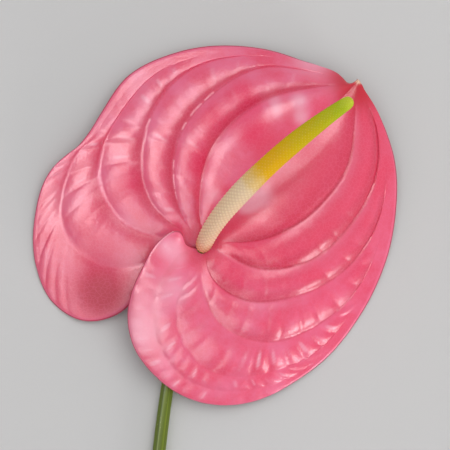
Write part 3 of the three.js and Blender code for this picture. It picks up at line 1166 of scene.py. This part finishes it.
@dataclass
class Stem:
    """The bare flower stalk, lying on the table and bent up into the collar at its neck."""

    collar: tuple[float, float] = field(default_factory=collar_place)
    stub: float = -0.6
    length: float = 305.0
    cut_diameter: float = 6.2
    neck_diameter: float = 4.4
    neck_run: float = 13.5
    headings: Stops = ((0, 66), (12, 72), (30, 77), (58, 81.1), (90, 84), (183, 87.7), (305, 91.7))
    skin_lift: float = 0.3
    skin_depth: float = 0.2
    ridges: int = 7
    ridge_height: float = 0.035
    waver: float = 0.07
    waver_length: float = 23.0
    crowding: float = 1.25
    rings: int = 420
    sides: int = 48

    def centreline(self) -> tuple[Array, Array]:
        """Ring centres and radii, neck first."""
        steps = 1200
        behind = np.linspace(0, self.length, steps + 1)
        heading = np.radians(smooth_curve(self.headings)((behind[1:] + behind[:-1]) / 2))
        step = -np.stack([np.cos(heading), np.sin(heading)], axis=1) * self.length / steps
        plan = np.array(self.collar) + np.concatenate([[np.zeros(2)], np.cumsum(step, axis=0)])
        taper = (self.cut_diameter - self.neck_diameter) * behind / self.length
        radius = (self.neck_diameter + taper) / 2
        bend = np.clip(1 - behind / self.neck_run, 0, 1) ** 2
        lift = (NECK_HEIGHT - self.neck_diameter / 2) * bend
        line = np.concatenate([plan, (radius + lift)[:, None]], axis=1)
        ahead = direction(NECK_AZIMUTH, NECK_RISE)
        line = np.concatenate([[line[0] + ahead * self.stub], line])
        radius = np.concatenate([[radius[0]], radius])
        run = run_along(line)
        wanted = run[-1] * np.linspace(0, 1, self.rings + 1) ** self.crowding
        return resampled(line, run, wanted), np.interp(wanted, run, radius)

    def build(self) -> bpy.types.Object:
        """Makes the stalk.

        Returns:
            The finished object, riding on the root body.
        """
        centres, radius = self.centreline()
        run = run_along(centres)
        rod = Rod(centres + (0, 0, self.skin_lift), radius + self.skin_depth, self.sides)
        ridges = self.ridge_height * np.sin(self.ridges * rod.angle)[None, :]
        waver = [noise.noise(Vector((s / self.waver_length, 0.3, 0.1))) for s in run]
        place = rod.rings(ridges + self.waver * np.array(waver)[:, None])
        skin = rod.closed(place, {"skin": rod.unrolled(radius, run)})
        mesh = settled(skin, "stem_stalk", StemSkin().material(), StemFlesh().material())
        for polygon in mesh.polygons:
            if len(polygon.vertices) > 4:  # the flat ends
                polygon.material_index = 1
                polygon.use_smooth = False
        stalk = link("stem_stalk", mesh)
        round_edges(stalk, "cut_edge", 0.12)
        return declare(stalk, Slot.STEM, "stem")


# ---------------------------------------------------------------- table, light and camera


@dataclass
class Studio:
    """A pale table, soft light from the right and above, and a camera that looks straight down."""

    table_side: float = 4.0
    camera_height: float = 1.2
    view_width: float = 180.0
    from_collar: tuple[float, float] = (8.8, 8.4)
    focus_height: float = 10.0
    sensor: float = 36.0
    room: Colour = (0.97, 0.97, 1.0)
    room_strength: float = 0.6

    @property
    def centre(self) -> Vector:
        """The point that the camera and the lights face, in metres."""
        x, y = collar_place()
        return Vector((x + self.from_collar[0], y + self.from_collar[1], self.focus_height)) * MM

    def table(self) -> bpy.types.Object:
        """Makes the table top, which is not part of the object."""
        top = bmesh.new()
        bmesh.ops.create_grid(top, x_segments=1, y_segments=1, size=self.table_side / 2)
        table = link("table", settled(top, "table", TableFinish().material()))
        return table

    def lamp(
        self, name: str, azimuth: float, rise: float, distance: float, size: float, watts: float,
        diffuse: bool = True, glossy: bool = True, spread: float = 180.0,
    ) -> bpy.types.Object:
        """Hangs one square soft light that faces the flower.

        Args:
            name: the light's name.
            azimuth: where it stands, in degrees from +X about the flower.
            rise: its height, in degrees above the table.
            distance: how far off it hangs, in metres.
            size: its side, in metres.
            watts: its power.
            diffuse: whether it lights matt surfaces.
            glossy: whether it shines in glossy ones.
            spread: how wide its light fans out, in degrees.

        Returns:
            The light's object.
        """
        light = bpy.data.lights.new(name, "AREA")
        light.shape = "SQUARE"
        light.size = size
        light.energy = watts
        light.spread = math.radians(spread)
        lamp = link(name, light)
        away = Vector(direction(azimuth, rise))
        lamp.location = self.centre + away * distance
        lamp.rotation_euler = (-away).to_track_quat("-Z", "Y").to_euler()
        lamp.visible_diffuse = diffuse
        lamp.visible_glossy = glossy
        return lamp

    def lights(self) -> None:
        """Sets the studio's lights and the pale room round them."""
        self.lamp("key", azimuth=150, rise=54, distance=1.5, size=1.1, watts=0.6)
        self.lamp("side", azimuth=-48, rise=9, distance=1.1, size=0.34, watts=0.5, spread=60)
        self.lamp("top", azimuth=50, rise=63, distance=2.0, size=1.6, watts=12.2, glossy=False)
        sheens = (("sheen", 168, 54, 0.75, 15), ("sheen_far", 100, 56, 0.8, 12),
                  ("sheen_near", 235, 54, 1.1, 13))
        for name, azimuth, rise, size, watts in sheens:
            self.lamp(name, azimuth, rise, 1.5, size, watts, diffuse=False)
        world = bpy.data.worlds.new("room")
        world.use_nodes = True
        back = world.node_tree.nodes["Background"]
        back.inputs["Color"].default_value = (*self.room, 1.0)
        back.inputs["Strength"].default_value = self.room_strength
        bpy.context.scene.world = world

    def camera(self) -> bpy.types.Object:
        """Places the camera above the flower, looking down with +Y up the frame."""
        lens = bpy.data.cameras.new("camera")
        lens.sensor_width = self.sensor
        lens.lens = self.sensor * (self.camera_height / MM - self.focus_height) / self.view_width
        lens.clip_start = 10 * MM
        camera = link("camera", lens)
        camera.location = (self.centre.x, self.centre.y, self.camera_height)
        bpy.context.scene.camera = camera
        return camera


def declare(piece: bpy.types.Object, slot: Slot, node: str) -> bpy.types.Object:
    """Ties a finished piece to the root body and hides the CAD part of its node."""
    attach(piece, "root")
    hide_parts(node)
    return piece


def main() -> None:
    logging.basicConfig(level=logging.INFO, format="%(name)s: %(message)s")
    for maker in (Stem(), Spathe(), Spadix()):
        piece = maker.build()
        LOG.info("%s: %d faces", piece.name, len(piece.data.polygons))
    studio = Studio()
    studio.table()
    studio.lights()
    studio.camera()
    bpy.context.scene.view_settings.view_transform = "Standard"
    bpy.context.view_layer.update()
    LOG.info("boxes written")


if __name__ == "__main__":
    main()
